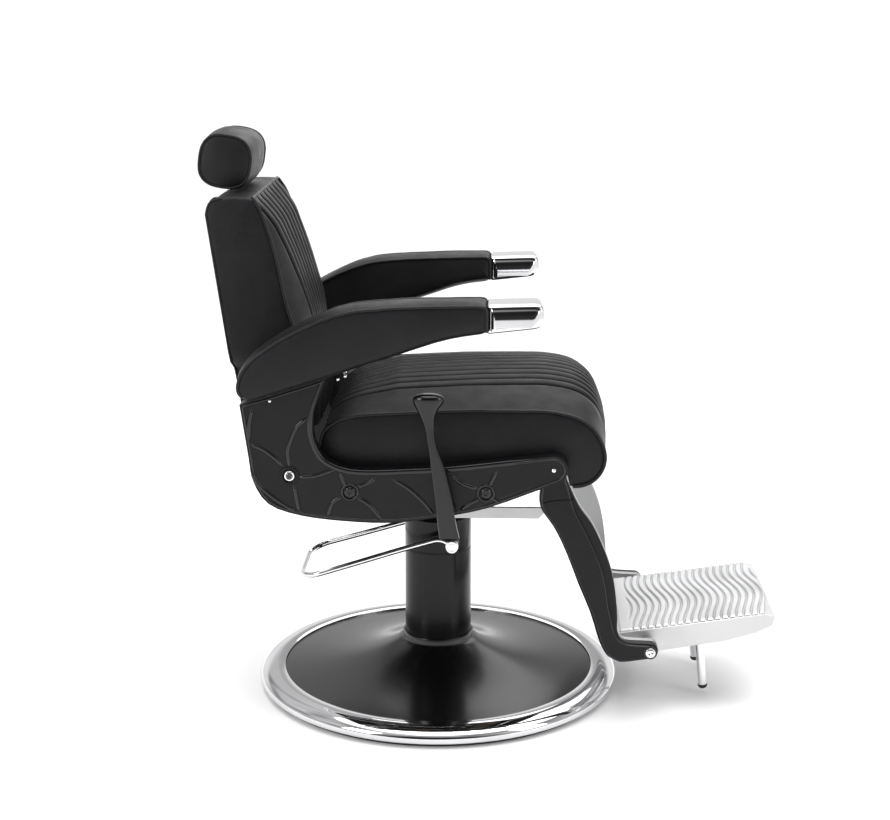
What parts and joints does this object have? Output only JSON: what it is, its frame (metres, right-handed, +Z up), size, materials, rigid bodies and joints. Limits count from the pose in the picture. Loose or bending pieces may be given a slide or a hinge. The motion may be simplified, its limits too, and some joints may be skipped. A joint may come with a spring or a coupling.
{
  "type": "hydraulic barber chair",
  "caption": "Reclining barber chair on a round pump base, with channelled seat and back, padded arms, headrest, side levers and a folding ribbed footplate.",
  "frame": {"origin": "centre of the round base on the floor", "axes": "+Z up, +X the way the sitter faces, +Y to the sitter's left"},
  "size_m": [1.0072, 0.66, 1.014],
  "materials": {
    "black_leather": "upholstery leather, satin",
    "black_paint": "black satin enamel",
    "chrome": "polished chrome",
    "cast_aluminium": "satin cast aluminium",
    "steel": "zinc plated steel",
    "plywood": "raw plywood",
    "rubber": "matt black rubber",
    "bronze": "bearing bronze"
  },
  "bodies": {
    "base": {"base_plate": "steel", "base_floor_ring": "rubber", "base_trim_ring": "chrome", "base_dome": "black_paint", "column_cover": "black_paint", "pump_body": "steel", "pump_head": "black_paint", "ram_wiper_seal": "rubber"},
    "foot_pedal": {"pedal_rod": "chrome", "pedal_shaft": "chrome"},
    "pump_plunger": {"pump_plunger": "steel", "plunger_spring": "steel"},
    "ram": {"ram": "chrome", "swivel_thrust_washer": "bronze"},
    "seat_frame": {"swivel_hub": "steel", "mount_plate": "black_paint", "cross_tube_front": "black_paint", "cross_tube_rear": "black_paint", "seat_pan": "plywood", "seat_cushion": "black_leather", "side_frame_right": "black_paint", "side_frame_left": "black_paint", "frame_bolt_front_right": "black_paint", "frame_bolt_front_left": "black_paint", "frame_bolt_rear_right": "black_paint", "frame_bolt_rear_left": "black_paint", "arm_pad_right": "black_leather", "arm_pad_left": "black_leather", "arm_tip_right": "chrome", "arm_tip_left": "chrome", "arm_bracket_right": "black_paint", "arm_bracket_left": "black_paint", "leg_pivot_shaft": "chrome", "back_pivot_stud_right": "chrome", "back_pivot_stud_left": "chrome", "lever_bush": "bronze"},
    "recline_lever": {"recline_lever": "black_paint", "lever_shaft": "black_paint"},
    "backrest": {"back_cushion": "black_leather", "back_shell": "black_leather", "back_bracket_right": "black_paint", "back_bracket_left": "black_paint", "back_cross_bar": "black_paint", "headrest_guide": "black_paint", "headrest_lock_knob": "black_paint"},
    "headrest_post": {"headrest_post": "chrome", "headrest_pivot_pin": "steel"},
    "headrest": {"headrest_cushion": "black_leather"},
    "legs": {"leg_right": "cast_aluminium", "leg_left": "cast_aluminium", "leg_cover_right": "black_paint", "leg_cover_left": "black_paint", "footplate_axle": "chrome"},
    "link_bars": {"link_bar_right": "cast_aluminium", "link_bar_left": "cast_aluminium"},
    "footplate": {"footplate": "cast_aluminium", "footplate_peg_right": "cast_aluminium", "footplate_peg_left": "cast_aluminium", "peg_tip_right": "rubber", "peg_tip_left": "rubber"}
  },
  "joints": [
    {"name": "pedal_press", "type": "hinge", "parent": "base", "child": "foot_pedal", "pos_m": [0.028, 0, 0.281], "axis": [0, -1, 0], "range_deg": [0, 16], "stiffness_Nm_per_rad": 6, "springref_deg": -17.19},
    {"name": "plunger_stroke", "type": "slide", "parent": "base", "child": "pump_plunger", "axis": [0, 0, -1], "range_m": [0, 0.008], "deforming": ["plunger_spring"]},
    {"name": "seat_lift", "type": "slide", "parent": "base", "child": "ram", "axis": [0, 0, 1], "range_m": [0, 0.16]},
    {"name": "seat_swivel", "type": "hinge", "parent": "ram", "child": "seat_frame", "pos_m": [0, 0, 0.33], "axis": [0, 0, 1], "continuous": true},
    {"name": "lever_pull", "type": "hinge", "parent": "seat_frame", "child": "recline_lever", "pos_m": [0.028, -0.29, 0.41], "axis": [0, -1, 0], "range_deg": [0, 18], "stiffness_Nm_per_rad": 2, "springref_deg": -22.92},
    {"name": "back_recline", "type": "hinge", "parent": "seat_frame", "child": "backrest", "pos_m": [-0.236, 0, 0.463], "axis": [0, -1, 0], "range_deg": [0, 36]},
    {"name": "legs_raise", "type": "hinge", "parent": "seat_frame", "child": "legs", "pos_m": [0.202, 0, 0.476], "axis": [0, -1, 0], "range_deg": [0, 36]},
    {"name": "link_parallel", "type": "hinge", "parent": "legs", "child": "link_bars", "pos_m": [0.202, 0, 0.401], "axis": [0, -1, 0], "range_deg": [-36, 0]},
    {"name": "footplate_flip", "type": "hinge", "parent": "legs", "child": "footplate", "pos_m": [0.376, 0, 0.13], "axis": [0, -1, 0], "range_deg": [0, 85]},
    {"name": "headrest_slide", "type": "slide", "parent": "backrest", "child": "headrest_post", "axis": [-0.159, 0, 0.9873], "range_m": [0, 0.08]},
    {"name": "headrest_tilt", "type": "hinge", "parent": "headrest_post", "child": "headrest", "pos_m": [-0.36702, 0, 0.96424], "axis": [0, -1, 0], "range_deg": [-8, 12]}
  ],
  "couplings": [
    {"joint": "plunger_stroke", "follows": "pedal_press", "m_per_rad": 0.028},
    {"joint": "legs_raise", "follows": "back_recline", "ratio": 1},
    {"joint": "link_parallel", "follows": "back_recline", "ratio": -1}
  ]
}
